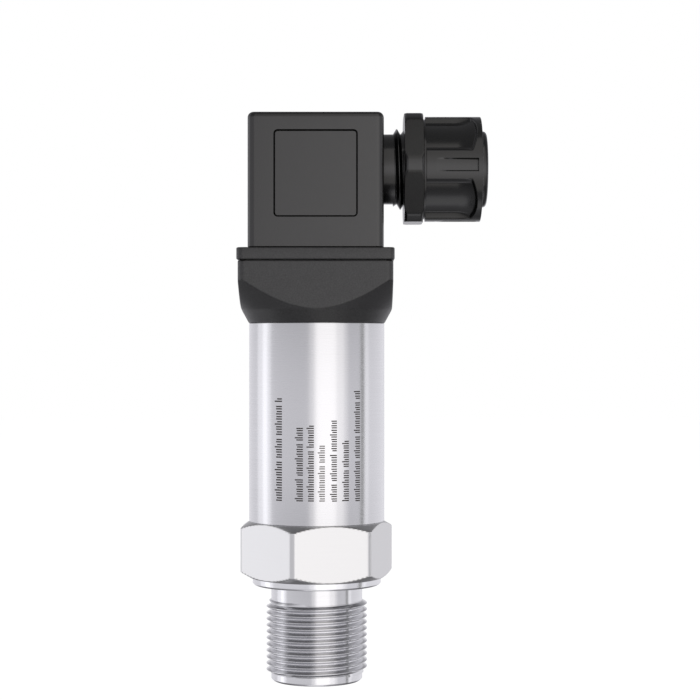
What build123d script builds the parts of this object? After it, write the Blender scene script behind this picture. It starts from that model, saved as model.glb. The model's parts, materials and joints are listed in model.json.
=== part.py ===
from build123d import *
import os
from math import cos, radians, sin, tan

# A pressure transmitter with a square four-pole plug and a cable gland.
# All sizes are in millimetres. The origin is the middle of the pressure port's mouth,
# +Z runs up the steel housing and +X is the side that the cable gland points to.

# Process connection: the turned steel end that screws into the pipe
nose_diameter = 18.1
nose_length = 1.9
nose_chamfer = 0.4
thread_diameter = 20.0
thread_length = 13.7
thread_chamfer = 0.6
neck_diameter = 18.1
neck_length = 3.45
collar_diameter = 25.5
collar_height = 1.45
collar_chamfer = 0.3
hex_across_flats = 27.0
hex_corner_diameter = 30.7
hex_height = 11.1
hex_chamfer_angle = 30.0
hex_chamfer_inset = 0.2
hex_corner_direction = 13.3
spigot_length = 6.0
port_diameter = 6.0
port_floor = 2.1

# Housing tube
tube_diameter = 26.9
tube_wall = 1.0
tube_length = 39.3
fit_gap = 0.05

# Pressure sensor: header, foil diaphragm, weld ring, seal and retaining ring
sensor_diameter = 18.9
header_height = 11.5
weld_ring_height = 0.8
weld_ring_width = 1.9
diaphragm_thickness = 0.2
diaphragm_wave = 0.25
diaphragm_waves = 2
oil_gap = 0.55
chip_width = 3.0
chip_height = 1.0
chip_pocket_diameter = 5.2
chip_pocket_depth = 1.5
sensor_groove_height = 2.4
sensor_groove_offset = 3.6
sensor_seal_section = 1.72
sensor_seal_gap = 0.02
retaining_ring_height = 2.4
retaining_ring_width = 3.2
spanner_slot_width = 2.2
spanner_slot_depth = 1.2

# Pins and circuit boards
pin_diameter = 0.9
pin_circle = 9.6
pin_count = 5
pin_depth = 5.0
pin_hole_gap = 0.05
pin_end = 0.5
sensor_board_diameter = 14.0
sensor_board_thickness = 1.2
sensor_board_lift = 2.6
board_width = 21.0
board_height = 22.0
board_thickness = 1.6
board_corner = 1.0
holder_height = 8.0
holder_width = 3.2
holder_slot_gap = 0.05
amplifier_size = 5.0
amplifier_height = 1.5
amplifier_level = 12.0
trimmer_width = 4.4
trimmer_depth = 4.0
trimmer_height = 4.8
trimmer_spread = 10.0
trimmer_level = 16.5
trimmer_screw_diameter = 1.8
trimmer_screw_slot = 0.4

# Wires from the board to the contact blades
wire_diameter = 1.0
wire_spread = 4.0
wire_start_run = 3.0
wire_end_run = 2.6

# Adapter: round below, square above
adapter_overlap = 0.05
adapter_foot_height = 2.65
adapter_shoulder_angle = 46.0
adapter_shoulder_diameter = 40.6
adapter_height = 11.8
adapter_corner = 1.3
adapter_spigot_length = 5.0
adapter_wall = 2.2
adapter_seal_section = 1.0
adapter_seal_gap = 0.03
adapter_groove_height = 1.4
adapter_socket_depth = 6.2
adapter_socket_corner = 3.0

# Contact base with its four blades and the threaded bush
shadow_gap = 0.2
shadow_inset = 0.35
lip_height = 2.35
lip_step = 0.25
lip_overhang = 2.05
base_spigot_wall = 2.7
contact_offset = 9.0
blade_width = 6.3
blade_thickness = 0.8
blade_reach = 6.0
blade_tail_width = 2.4
blade_tail_length = 2.4
blade_tip_chamfer = 0.5
blade_slot_gap = 0.02
bush_diameter = 6.2
bush_length = 8.0
bush_flange_diameter = 7.4
bush_flange_height = 1.0
screw_diameter = 3.0
screw_gap = 0.05

# Gasket and terminal insert inside the hood
gasket_height = 1.0
gasket_slot_gap = 0.45
insert_height = 6.75
insert_rim = 0.7
insert_corner = 1.0
screw_passage_gap = 0.1
socket_depth = 2.8
socket_margin = 0.65
socket_floor = 0.5
socket_slot_gap = 0.1
terminal_length = 3.8
terminal_width = 5.0
terminal_rise = 2.6
terminal_top_gap = 0.4
terminal_gap = 0.05
terminal_screw_diameter = 2.4
terminal_screw_length = 3.2
terminal_head_diameter = 3.7
terminal_head_height = 1.2
terminal_slot_width = 0.6
terminal_slot_depth = 0.6

# Plug hood
hood_wall = 2.0
hood_ceiling = 2.5
hood_crown = 10.0
hood_edge_radius = 1.4
hood_top_radius = 1.1
panel_width = 16.2
panel_height = 16.8
panel_depth = 0.4
panel_corner = 0.8
panel_top_margin = 3.5
pillar_wall = 1.6
well_diameter = 7.8
well_depth = 3.6
well_wall = 1.5

# Captive fixing screw and its washer
head_diameter = 5.5
head_height = 2.0
head_edge = 0.3
drive_slot_width = 0.8
drive_slot_depth = 1.1
washer_height = 0.5
washer_diameter = 6.4
screw_engagement = 6.0
screw_tip = 0.5

# Cable gland
boss_wall = 1.0
boss_gap = 0.5
shank_diameter = 13.9
shank_length = 2.05
shank_depth = 4.5
gland_thread_diameter = 16.0
gland_thread_pitch = 1.5
gland_thread_length = 2.1
flange_across_flats = 21.4
flange_corner_diameter = 23.4
flange_height = 3.7
flange_chamfer = 0.2
nut_diameter = 20.8
nut_length = 11.5
nut_collar_length = 0.5
nut_collar_diameter = 19.8
nut_edge = 0.3
rib_count = 4
rib_width = 5.6
pocket_depth = 1.3
pocket_end_radius = 1.3
edge_bevels = 3
end_rim = 0.9
rib_groove_width = 2.4
rib_groove_depth = 0.55
rib_groove_start = 2.4
rib_groove_end = 0.9
nose_ring_diameter = 15.1
nose_ring_length = 1.2
nose_ring_edge = 0.7
nut_bore_diameter = 14.1
nut_thread_gap = 0.05
nut_mouth_diameter = 11.0
basket_wall = 1.0
basket_fingers = 6
basket_slot_width = 1.2
basket_slot_length = 3.4
seal_length = 5.4
seal_gap = 0.05
cable_diameter = 8.0
gland_bore_diameter = 10.4
pressure_washer_height = 0.8
pressure_washer_gap = 0.1

# Levels up the housing
thread_level = nose_length
neck_level = thread_level + thread_length
collar_level = neck_level + neck_length
hex_level = collar_level + collar_height
tube_level = hex_level + hex_height
spigot_top = tube_level + spigot_length
adapter_level = tube_level + tube_length
adapter_top = adapter_level + adapter_height
lip_level = adapter_top + shadow_gap
plug_level = lip_level + lip_height

# Radii and widths that follow from the driving sizes
tube_bore = tube_diameter / 2 - tube_wall
spigot_radius = tube_bore - fit_gap
sensor_radius = sensor_diameter / 2
pocket_radius = sensor_radius + fit_gap
cavity_width = 2 * (contact_offset + socket_depth / 2 + insert_rim + fit_gap)
insert_width = cavity_width - 2 * fit_gap
hood_width = cavity_width + 2 * hood_wall
lip_width = hood_width + 2 * lip_overhang
adapter_width = lip_width - 2 * lip_step
base_spigot_width = adapter_width - 2 * base_spigot_wall

# Levels inside the sensor pocket
pocket_level = hex_level + port_floor
diaphragm_level = pocket_level + weld_ring_height
header_level = diaphragm_level + diaphragm_thickness
header_top = header_level + header_height
ring_top = header_top + retaining_ring_height
sensor_board_level = spigot_top + sensor_board_lift
board_level = sensor_board_level + sensor_board_thickness
board_top = board_level + board_height

# Levels and places inside the plug
insert_level = plug_level + gasket_height
insert_top = insert_level + insert_height
boss_radius = shank_diameter / 2 + fit_gap + boss_wall
gland_level = insert_top + boss_gap + boss_radius
hood_top = gland_level + hood_crown
ceiling_level = hood_top - hood_ceiling
well_level = hood_top - well_depth
panel_level = hood_top - panel_top_margin - panel_height / 2
base_spigot_level = adapter_top - adapter_socket_depth
socket_level = insert_level + socket_floor
terminal_offset = contact_offset - socket_depth / 2 - terminal_length / 2
terminal_top = insert_top - terminal_top_gap
screw_radius = screw_diameter / 2
passage_radius = screw_radius + screw_passage_gap

# Places along the gland, measured outward from the hood's face
thread_start = shank_length
flange_start = thread_start + gland_thread_length
nut_start = flange_start + flange_height
nut_end = nut_start + nut_length
basket_radius = nut_bore_diameter / 2 - nut_thread_gap
seal_radius = basket_radius - basket_wall - seal_gap
nut_shoulder = nut_end - nose_ring_length - 1.2
basket_end = nut_shoulder - pressure_washer_height - pressure_washer_gap
seal_start = basket_end - seal_length

# The four contact places, as turns about the axis, and the name of each
contact_turns = {"contact_1": 180, "contact_2": 0, "contact_3": 90, "contact_earth": 270}


# Solid turned about Z from a closed outline of (radius, height) points
def turned(*points):
    outline = Plane.XZ * Polyline(*points, close=True)
    return revolve(make_face(outline), Axis.Z)


# Upright round bar between two levels
def bar(radius, low, high):
    middle = (low + high) / 2
    return Pos(0, 0, middle) * Cylinder(radius, high - low)


# Upright tube between two levels
def tube(outer, inner, low, high):
    return turned((inner, low), (outer, low), (outer, high), (inner, high))


# Ring seal, pressed by its groove to a section of eight flats, centred on a level
def ring_seal(outer, section, middle):
    half = section / 2
    flat = half * tan(radians(22.5))
    centre = outer - half
    return turned(
        (centre - half, middle - flat),
        (centre - flat, middle - half),
        (centre + flat, middle - half),
        (centre + half, middle - flat),
        (centre + half, middle + flat),
        (centre + flat, middle + half),
        (centre - flat, middle + half),
        (centre - half, middle + flat),
    )


# Points up an outer edge that is rounded off in short bevels
def bevelled_edge(outer, top, size):
    points = []
    for number in range(edge_bevels + 1):
        turn = radians(90 * number / edge_bevels)
        inset = size * (1 - cos(turn))
        drop = size * (1 - sin(turn))
        points.append((outer - inset, top - drop))
    return points


# Upright square block between two levels, with rounded corners
def square_block(width, corner, low, high):
    outline = RectangleRounded(width, width, corner)
    return Pos(0, 0, low) * extrude(outline, high - low)


# Box given by its size, standing on a level, at a place in plan
def block(length, width, low, high, x=0.0, y=0.0):
    middle = (low + high) / 2
    return Pos(x, y, middle) * Box(length, width, high - low)


# Lays a gland piece, modelled upright from the hood's face, along +X at the gland's level
def on_gland_axis(shape):
    return Pos(hood_width / 2, 0, gland_level) * Rot(0, 90, 0) * shape


# Hexagon whose corners are turned down and chamfered at both ends
def hex_band():
    flat_radius = hex_across_flats / 2
    end_radius = flat_radius - hex_chamfer_inset
    corner_radius = hex_corner_diameter / 2
    drop = (corner_radius - end_radius) * tan(radians(hex_chamfer_angle))
    hexagon = RegularPolygon(flat_radius, 6, major_radius=False, rotation=hex_corner_direction)
    prism = Pos(0, 0, hex_level) * extrude(hexagon, hex_height)
    envelope = turned(
        (0, hex_level),
        (end_radius, hex_level),
        (corner_radius, hex_level + drop),
        (corner_radius, tube_level - drop),
        (end_radius, tube_level),
        (0, tube_level),
    )
    return prism & envelope


# Nose, thread stretch, neck, collar, hexagon and spigot, bored for the port and the sensor
def process_connection():
    nose = nose_diameter / 2
    thread = thread_diameter / 2
    neck = neck_diameter / 2
    collar = collar_diameter / 2
    shank = turned(
        (0, 0),
        (nose - nose_chamfer, 0),
        (nose, nose_chamfer),
        (nose, thread_level),
        (thread - thread_chamfer, thread_level),
        (thread, thread_level + thread_chamfer),
        (thread, neck_level - thread_chamfer),
        (thread - thread_chamfer, neck_level),
        (neck, neck_level),
        (neck, collar_level),
        (collar - collar_chamfer, collar_level),
        (collar, collar_level + collar_chamfer),
        (collar, hex_level),
        (0, hex_level),
    )
    spigot = bar(spigot_radius, tube_level, spigot_top)
    port = port_diameter / 2
    bores = turned(
        (0, 0),
        (port, 0),
        (port, pocket_level),
        (pocket_radius, pocket_level),
        (pocket_radius, spigot_top),
        (0, spigot_top),
    )
    return shank + hex_band() + spigot - bores


def housing_tube():
    return tube(tube_diameter / 2, tube_bore, tube_level, adapter_level)


# Foil with ring waves, clamped at its edge between the weld ring and the header
def isolating_diaphragm():
    free = sensor_radius - weld_ring_width
    wave_pitch = free / (diaphragm_waves + 0.5)
    lower = []
    upper = []
    for number in range(2 * diaphragm_waves + 1):
        radius = number * wave_pitch / 2
        rise = diaphragm_wave * (number % 2)
        lower.append((radius, diaphragm_level + rise))
        upper.append((radius, header_level + rise))
    rim_low = [(sensor_radius, diaphragm_level), (sensor_radius, header_level)]
    return turned(*lower, *rim_low, *reversed(upper))


def weld_ring():
    return tube(sensor_radius, sensor_radius - weld_ring_width, pocket_level, diaphragm_level)


# Places of the sensor's pins round their circle
def pin_places():
    return PolarLocations(pin_circle / 2, pin_count, start_angle=90)


# Steel header with the oil space, the chip pocket, the pin holes and the seal's groove
def sensor_header():
    groove_floor = sensor_radius - sensor_seal_section - sensor_seal_gap
    groove_low = header_level + sensor_groove_offset
    groove_high = groove_low + sensor_groove_height
    body = turned(
        (0, header_level),
        (sensor_radius, header_level),
        (sensor_radius, groove_low),
        (groove_floor, groove_low),
        (groove_floor, groove_high),
        (sensor_radius, groove_high),
        (sensor_radius, header_top),
        (0, header_top),
    )
    oil = bar(sensor_radius - weld_ring_width, header_level, header_level + oil_gap)
    chip_space = bar(chip_pocket_diameter / 2, header_level, chip_floor())
    hole = bar(pin_diameter / 2 + pin_hole_gap, header_top - pin_depth, header_top)
    holes = [place * hole for place in pin_places()]
    return body - oil - chip_space - holes


# Ceiling of the pocket that the chip is bonded to
def chip_floor():
    return header_level + oil_gap + chip_pocket_depth


def sensor_chip():
    return block(chip_width, chip_width, chip_floor() - chip_height, chip_floor())


def sensor_pins():
    pin = bar(pin_diameter / 2, header_top - pin_depth, board_level + pin_end)
    return [place * pin for place in pin_places()]


# Ring seal in the header's groove
def sensor_seal():
    middle = header_level + sensor_groove_offset + sensor_groove_height / 2
    return ring_seal(sensor_radius, sensor_seal_section, middle)


# Ring that holds the header down, with two slots for a pin spanner
def retaining_ring():
    ring = tube(sensor_radius, sensor_radius - retaining_ring_width, header_top, ring_top)
    slot = block(sensor_diameter + 1, spanner_slot_width, ring_top - spanner_slot_depth, ring_top)
    return ring - slot


# Small round board soldered on the pins
def sensor_board():
    disc = bar(sensor_board_diameter / 2, sensor_board_level, board_level)
    hole = bar(pin_diameter / 2 + pin_hole_gap, sensor_board_level, board_level)
    return disc - [place * hole for place in pin_places()]


# Upright main board, with its upper corners cut back
def circuit_board():
    outline = Rectangle(board_width, board_height)
    outline = chamfer(outline.vertices().group_by(Axis.Y)[-1], board_corner)
    middle = board_level + board_height / 2
    upright = Plane((0, board_thickness / 2, middle), x_dir=(1, 0, 0), z_dir=(0, -1, 0))
    return extrude(upright * outline, board_thickness)


# Plastic ring on the spigot whose two slots grip the main board's edges
def board_holder():
    outer = spigot_radius
    inner = max(outer - holder_width, sensor_board_diameter / 2 + fit_gap)
    ring = tube(outer, inner, spigot_top, spigot_top + holder_height)
    slot_width = board_thickness + 2 * holder_slot_gap
    slot_length = board_width + 2 * holder_slot_gap
    return ring - block(slot_length, slot_width, board_level, spigot_top + holder_height)


# Amplifier chip on the face of the main board
def amplifier():
    face = -board_thickness / 2
    low = board_level + amplifier_level - amplifier_size / 2
    return block(amplifier_size, amplifier_height, low, low + amplifier_size, 0, face - amplifier_height / 2)


# Trimming potentiometer with its slotted adjuster on top
def trimmer(side):
    x = side * trimmer_spread / 2
    y = board_thickness / 2 + trimmer_depth / 2
    low = board_level + trimmer_level - trimmer_height / 2
    high = low + trimmer_height
    body = block(trimmer_width, trimmer_depth, low, high, x, y)
    dial = Pos(x, y, high) * Cylinder(trimmer_screw_diameter / 2, 2 * trimmer_screw_slot)
    slot = block(trimmer_screw_diameter, trimmer_screw_slot, high, high + trimmer_screw_slot, x, y)
    return body + dial - slot


# Sheathed wire from the board's upper edge up to a blade's tail, on two short kinks
def lead_wire(start, end):
    low, high = Vector(*start), Vector(*end)
    first = low + Vector(0, 0, wire_start_run)
    last = high - Vector(0, 0, wire_end_run)
    path = Polyline(low, first, last, high)
    section = Plane(low, z_dir=(0, 0, 1)) * Circle(wire_diameter / 2)
    return sweep(section, path=path, transition=Transition.RIGHT)


# One wire for each contact in use: the two loop wires and the earth
def lead_wires():
    ends = ("contact_1", "contact_earth", "contact_2")
    wires = []
    for number, name in enumerate(ends):
        turn = radians(contact_turns[name])
        start = ((number - 1) * wire_spread, 0, board_top)
        tail = base_spigot_level - blade_tail_length
        end = (contact_offset * cos(turn), contact_offset * sin(turn), tail)
        wires.append(lead_wire(start, end))
    return wires


# Outside of the adapter: a square block cut round by a foot cone and a steeper shoulder
def adapter_envelope():
    foot = tube_diameter / 2 + adapter_overlap
    waist = adapter_width / 2
    waist_level = adapter_level + adapter_foot_height
    crest = adapter_shoulder_diameter / 2
    crest_level = waist_level + (crest - waist) / tan(radians(adapter_shoulder_angle))
    cone = turned(
        (0, adapter_level),
        (foot, adapter_level),
        (waist, waist_level),
        (crest, crest_level),
        (adapter_width, crest_level),
        (adapter_width, adapter_top),
        (0, adapter_top),
    )
    return square_block(adapter_width, adapter_corner, adapter_level, adapter_top) & cone


# Adapter with its spigot in the tube, the seal's groove and the socket for the contact base
def adapter():
    spigot_low = adapter_level - adapter_spigot_length
    inner = spigot_radius - adapter_wall
    groove_floor = spigot_radius - adapter_seal_section - adapter_seal_gap
    groove_middle = (spigot_low + adapter_level) / 2
    spigot = turned(
        (0, spigot_low),
        (spigot_radius, spigot_low),
        (spigot_radius, groove_middle - adapter_groove_height / 2),
        (groove_floor, groove_middle - adapter_groove_height / 2),
        (groove_floor, groove_middle + adapter_groove_height / 2),
        (spigot_radius, groove_middle + adapter_groove_height / 2),
        (spigot_radius, adapter_level),
        (0, adapter_level),
    )
    wireway = bar(inner, spigot_low, adapter_top)
    socket_width = base_spigot_width + 2 * fit_gap
    socket = square_block(socket_width, adapter_socket_corner, base_spigot_level, adapter_top)
    return adapter_envelope() + spigot - wireway - socket


def adapter_seal():
    middle = adapter_level - adapter_spigot_length / 2
    return ring_seal(spigot_radius, adapter_seal_section, middle)


# Cross-section of a blade or its slot, laid across the radius at one contact's place
def contact_block(name, depth, width, low, high, offset=contact_offset):
    return Rot(0, 0, contact_turns[name]) * block(depth, width, low, high, offset)


# Moulded contact base: the lip that shows, a shadow step, and a spigot down in the adapter
def contact_base():
    lip = square_block(lip_width, adapter_corner, lip_level, plug_level)
    shadow_width = adapter_width - 2 * shadow_inset
    shadow = square_block(shadow_width, adapter_corner, adapter_top, lip_level)
    spigot_corner = adapter_socket_corner - fit_gap
    spigot = square_block(base_spigot_width, spigot_corner, base_spigot_level, adapter_top)
    base = lip + shadow + spigot
    for name in contact_turns:
        depth = blade_thickness + 2 * blade_slot_gap
        width = blade_width + 2 * blade_slot_gap
        base -= contact_block(name, depth, width, base_spigot_level, plug_level)
    flange_low = plug_level - bush_flange_height
    base -= bar(bush_diameter / 2 + fit_gap, base_spigot_level, plug_level)
    return base - bar(bush_flange_diameter / 2 + fit_gap, flange_low, plug_level)


# Flat contact blade with a chamfered tip and a narrow solder tail below
def contact_blade(name):
    tip = plug_level + blade_reach
    blade = contact_block(name, blade_thickness, blade_width, base_spigot_level, tip)
    sides = blade.faces().sort_by(Axis.Z)[-1].edges().filter_by(GeomType.LINE)
    short = sides.sort_by(SortBy.LENGTH)[:2]
    blade = chamfer(short, blade_tip_chamfer)
    tail_low = base_spigot_level - blade_tail_length
    return blade + contact_block(name, blade_thickness, blade_tail_width, tail_low, base_spigot_level)


# Threaded brass bush that the fixing screw holds in
def threaded_bush():
    flange_low = plug_level - bush_flange_height
    bore = screw_radius + screw_gap
    return turned(
        (bore, plug_level - bush_length),
        (bush_diameter / 2, plug_level - bush_length),
        (bush_diameter / 2, flange_low),
        (bush_flange_diameter / 2, flange_low),
        (bush_flange_diameter / 2, plug_level),
        (bore, plug_level),
    )


# Flat gasket with openings for the blades and the bush
def profile_gasket():
    gasket = square_block(insert_width, insert_corner, plug_level, insert_level)
    for name in contact_turns:
        depth = blade_thickness + 2 * gasket_slot_gap
        width = blade_width + 2 * gasket_slot_gap
        gasket -= contact_block(name, depth, width, plug_level, insert_level)
    return gasket - bar(bush_flange_diameter / 2, plug_level, insert_level)


# Space or solid of one socket and the clamping block beside it
def socket_body(name, gap):
    width = blade_width + 2 * socket_margin
    depth = socket_depth
    low = socket_level
    block_low = terminal_top - terminal_rise - terminal_screw_length / 2
    box = contact_block(name, depth + 2 * gap, width + 2 * gap, low, terminal_top)
    length = terminal_length + 2 * gap
    clamp = contact_block(name, length, terminal_width + 2 * gap, block_low, terminal_top, terminal_offset)
    return box + clamp


# Insulating insert that holds the sockets, with the screw's passage in the middle
def terminal_insert():
    insert = square_block(insert_width, insert_corner, insert_level, insert_top)
    insert -= bar(passage_radius, insert_level, insert_top)
    for name in contact_turns:
        depth = blade_thickness + 2 * gasket_slot_gap
        width = blade_width + 2 * gasket_slot_gap
        insert -= contact_block(name, depth, width, insert_level, insert_top)
        insert -= socket_body(name, terminal_gap)
        clamp_length = terminal_length + 2 * terminal_gap
        clamp_width = terminal_width + 2 * terminal_gap
        insert -= contact_block(name, clamp_length, clamp_width, terminal_top, insert_top, terminal_offset)
    return insert


# Socket that grips a blade, with its threaded clamping block
def socket_contact(name):
    slot_depth = blade_thickness + 2 * socket_slot_gap
    slot_width = blade_width + 2 * socket_slot_gap
    slot = contact_block(name, slot_depth, slot_width, socket_level, terminal_top)
    hole_radius = terminal_screw_diameter / 2 + terminal_gap
    hole = Pos(terminal_offset, 0, 0) * bar(hole_radius, terminal_top - terminal_screw_length, terminal_top)
    return socket_body(name, 0) - slot - Rot(0, 0, contact_turns[name]) * hole


# Slotted clamping screw of one contact
def terminal_screw(name):
    shaft_radius = terminal_screw_diameter / 2
    top = terminal_top + terminal_head_height
    shaft = bar(shaft_radius, terminal_top - terminal_screw_length, terminal_top)
    head = bar(terminal_head_diameter / 2, terminal_top, top)
    slot = block(terminal_slot_width, terminal_head_diameter, top - terminal_slot_depth, top)
    place = Rot(0, 0, contact_turns[name]) * Pos(terminal_offset, 0, 0)
    return place * (shaft + head - slot)


def terminal_screws():
    return [terminal_screw(name) for name in contact_turns]


# Outside of the hood: a square block with rounded upright and top edges
def hood_block():
    outer = square_block(hood_width, hood_edge_radius, plug_level, hood_top)
    top_edges = outer.faces().sort_by(Axis.Z)[-1].edges()
    return fillet(top_edges, hood_top_radius)


# Boss inside the hood's wall that the gland's shank sits in
def gland_boss():
    length = shank_depth + 2 * fit_gap
    boss = on_gland_axis(bar(boss_radius, -length, -hood_wall / 2))
    roof = block(length - hood_wall / 2, 2 * boss_radius, gland_level, ceiling_level)
    roof = Pos(hood_width / 2 - hood_wall / 2 - (length - hood_wall / 2) / 2, 0, 0) * roof
    return boss + roof


# Post round the fixing screw, wider at the top where it carries the head's well
def screw_pillar():
    post = passage_radius + pillar_wall
    well = well_diameter / 2 + well_wall
    well_low = well_level - well_wall
    return bar(post, insert_top, ceiling_level) + bar(well, well_low, ceiling_level)


# Recessed square panel on the front of the hood
def panel_recess():
    outline = RectangleRounded(panel_width, panel_height, panel_corner)
    front = Plane((0, -hood_width / 2, panel_level), x_dir=(1, 0, 0), z_dir=(0, -1, 0))
    return extrude(front * outline, -panel_depth)


# Hollow hood with the gland's boss, the screw's post and well, and the front panel
def plug_hood():
    cavity = square_block(cavity_width, insert_corner, plug_level, ceiling_level)
    hood = hood_block() - cavity
    hood += gland_boss() + screw_pillar()
    hood -= bar(passage_radius, insert_top, hood_top)
    hood -= bar(well_diameter / 2, well_level, hood_top)
    hood -= on_gland_axis(bar(shank_diameter / 2 + fit_gap, -hood_width / 2 + well_diameter, 0))
    return hood - panel_recess()


# Captive screw: slotted cheese head in the well, shaft down into the bush
def fixing_screw():
    head_low = well_level + washer_height
    head_top = head_low + head_height
    radius = head_diameter / 2
    tip = plug_level - screw_engagement
    screw = turned(
        (0, tip),
        (screw_radius - screw_tip, tip),
        (screw_radius, tip + screw_tip),
        (screw_radius, head_low),
        (radius, head_low),
        (radius, head_top - head_edge),
        (radius - head_edge, head_top),
        (0, head_top),
    )
    slot = block(head_diameter, drive_slot_width, head_top - drive_slot_depth, head_top)
    return screw - slot


def screw_washer():
    return tube(washer_diameter / 2, passage_radius, well_level, well_level + washer_height)


# Ridge of the gland's thread that stays in sight next to the flange
def thread_ridge(middle):
    root = shank_diameter / 2
    crest = gland_thread_diameter / 2
    half = gland_thread_pitch / 2
    return turned(
        (0, middle - half),
        (root, middle - half),
        (crest, middle),
        (root, middle + half),
        (0, middle + half),
    )


# Gland body: shank in the hood, thread ridge, wrench flange and the slotted clamping basket
def gland_body():
    shank = bar(shank_diameter / 2, -shank_depth, flange_start)
    ridge_middle = flange_start - gland_thread_length / 2
    hexagon = RegularPolygon(flange_across_flats / 2, 6, major_radius=False, rotation=90)
    outline = hexagon & Circle(flange_corner_diameter / 2)
    flange = Pos(0, 0, flange_start) * extrude(outline, flange_height)
    flange = chamfer(flange.edges().filter_by(Plane.XY), flange_chamfer)
    basket = bar(basket_radius, nut_start, basket_end)
    body = shank + thread_ridge(ridge_middle) + flange + basket
    body -= bar(gland_bore_diameter / 2, -shank_depth, basket_end)
    body -= bar(seal_radius + seal_gap, seal_start, basket_end)
    slot = block(basket_radius + 1, basket_slot_width, basket_end - basket_slot_length, basket_end)
    slot = Pos((basket_radius + 1) / 2, 0, 0) * slot
    for number in range(basket_fingers):
        body -= Rot(0, 0, number * 360 / basket_fingers) * slot
    return on_gland_axis(body)


# Rubber sleeve that the nut squeezes onto the cable
def cable_seal():
    return on_gland_axis(tube(seal_radius, cable_diameter / 2, seal_start, basket_end))


# Loose ring between the sleeve and the nut, which keeps the sleeve from turning
def pressure_washer():
    low = basket_end + pressure_washer_gap
    outer = nut_bore_diameter / 2 - nut_thread_gap
    ring = tube(outer, nut_mouth_diameter / 2, low, low + pressure_washer_height)
    return on_gland_axis(ring)


# Shallow groove along the middle of a rib, deepening towards the far end
def rib_groove():
    low = nut_start + rib_groove_start
    high = nut_end - rib_groove_end
    outside = nut_diameter / 2
    wedge = Polyline(
        (outside + 0.01, low),
        (outside - rib_groove_depth, high),
        (outside + 1, high),
        (outside + 1, low),
        close=True,
    )
    side = Plane((0, rib_groove_width / 2, 0), x_dir=(1, 0, 0), z_dir=(0, -1, 0))
    return extrude(make_face(side * wedge), rib_groove_width)


# Pockets between the ribs: a turned-down band whose far end sweeps up to the rim in short bevels
def pocket_cutter(low, high):
    outer = nut_diameter / 2
    floor = outer - pocket_depth
    end = [(2 * floor - x, z) for x, z in bevelled_edge(floor, high, pocket_end_radius)]
    cutter = turned((floor, low), *end, (outer + 1, high), (outer + 1, low))
    for number in range(rib_count):
        rib = Pos(outer, 0, 0) * block(nut_diameter, rib_width, low, high)
        cutter -= Rot(0, 0, number * 360 / rib_count) * rib
    return cutter


# Compression nut with four grooved ribs, swept pockets between them and a rounded nose
def gland_nut():
    outer = nut_diameter / 2
    collar = nut_collar_diameter / 2
    ribs_low = nut_start + nut_collar_length
    ribs_high = nut_end - end_rim
    blank = turned(
        (0, nut_start),
        (collar, nut_start),
        (collar, ribs_low),
        (outer, ribs_low),
        (outer, nut_end - nut_edge),
        (outer - nut_edge, nut_end),
        (0, nut_end),
    )
    nose_end = nut_end + nose_ring_length
    nose_edge = bevelled_edge(nose_ring_diameter / 2, nose_end, nose_ring_edge)
    nose = turned((0, nut_end), (nose_ring_diameter / 2, nut_end), *nose_edge, (0, nose_end))
    nut = blank + nose - pocket_cutter(ribs_low, ribs_high)
    step = 360 / rib_count
    for number in range(rib_count):
        nut -= Rot(0, 0, number * step) * rib_groove()
    nut -= bar(nut_bore_diameter / 2, nut_start, nut_shoulder)
    nut -= bar(nut_mouth_diameter / 2, nut_shoulder, nose_end)
    return on_gland_axis(nut)


# Writes one piece, or one group of like pieces, as a file with the node's name
def save(name, shape):
    solids = shape if isinstance(shape, list) else [shape]
    solids = [solid for item in solids for solid in item.solids()]
    whole = solids[0] if len(solids) == 1 else Compound(children=solids)
    export_step(whole, f"parts/{name}.step")


os.makedirs("parts", exist_ok=True)

save("process_connection", process_connection())
save("housing_tube", housing_tube())
save("weld_ring", weld_ring())
save("isolating_diaphragm", isolating_diaphragm())
save("sensor_header", sensor_header())
save("sensor_chip", sensor_chip())
save("sensor_pins", sensor_pins())
save("sensor_seal", sensor_seal())
save("retaining_ring", retaining_ring())
save("sensor_board", sensor_board())
save("circuit_board", circuit_board())
save("board_holder", board_holder())
save("amplifier", amplifier())
save("zero_trimmer", trimmer(-1))
save("span_trimmer", trimmer(1))
save("lead_wires", lead_wires())
save("adapter", adapter())
save("adapter_seal", adapter_seal())
save("contact_base", contact_base())
for contact in contact_turns:
    save(f"{contact}_blade", contact_blade(contact))
    save(f"{contact}_socket", socket_contact(contact))
save("threaded_bush", threaded_bush())
save("profile_gasket", profile_gasket())
save("terminal_insert", terminal_insert())
save("terminal_screws", terminal_screws())
save("plug_hood", plug_hood())
save("screw_washer", screw_washer())
save("fixing_screw", fixing_screw())
save("gland_body", gland_body())
save("cable_seal", cable_seal())
save("pressure_washer", pressure_washer())
save("gland_nut", gland_nut())
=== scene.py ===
import json
from collections import namedtuple
from math import asin, atan2, ceil, cos, exp, log, pi, radians, sin, sqrt, tan

import bpy
from mathutils import Matrix, Vector


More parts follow.
